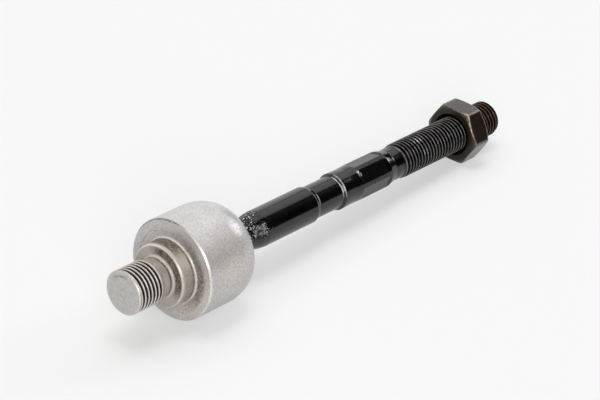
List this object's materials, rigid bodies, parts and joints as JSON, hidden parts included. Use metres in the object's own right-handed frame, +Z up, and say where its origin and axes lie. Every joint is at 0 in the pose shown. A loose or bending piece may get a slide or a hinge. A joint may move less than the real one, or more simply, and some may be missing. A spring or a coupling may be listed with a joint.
{
  "type": "inner tie rod",
  "caption": "Inner tie rod: a steel bell housing with a threaded stud holds the ball of a forged, stepped rod whose outer thread carries a jam nut.",
  "frame": {"origin": "centre of the bounding box, on the surface that the part lies on", "axes": "+X from the stud towards the rod's tip, +Z up; the common axis of housing and rod lies in the XZ plane and drops 3.29 degrees towards the tip, because the part rests on the bell and on the jam nut"},
  "size_m": [0.1774, 0.0336, 0.0344],
  "materials": {
    "blasted_steel": "turned and shot-blasted, dull light grey",
    "spring_steel": "plain, oiled",
    "seat_plastic": "moulded, off-white",
    "black_coated_steel": "glossy black coating over forged steel",
    "oiled_dark_steel": "black oxide, oiled"
  },
  "bodies": {
    "housing": {"socket_housing": "blasted_steel", "preload_spring": "spring_steel"},
    "socket_liner": {"ball_seat": "seat_plastic"},
    "rod": {"tie_rod": "black_coated_steel"},
    "lock_nut": {"jam_nut": "oiled_dark_steel"}
  },
  "joints": [
    {"name": "socket_spin", "type": "hinge", "parent": "housing", "child": "socket_liner", "pos_m": [-0.05094, 0, 0.0167], "axis": [0.9984, 0, -0.0574], "continuous": true},
    {"name": "rod_swing", "type": "hinge", "parent": "socket_liner", "child": "rod", "pos_m": [-0.05094, 0, 0.0167], "axis": [0.0574, 0, 0.9984], "range_deg": [-25, 25]},
    {"name": "nut_slide", "type": "slide", "parent": "rod", "child": "lock_nut", "axis": [0.9984, 0, -0.0574], "range_m": [-0.0285, 0.009]}
  ]
}
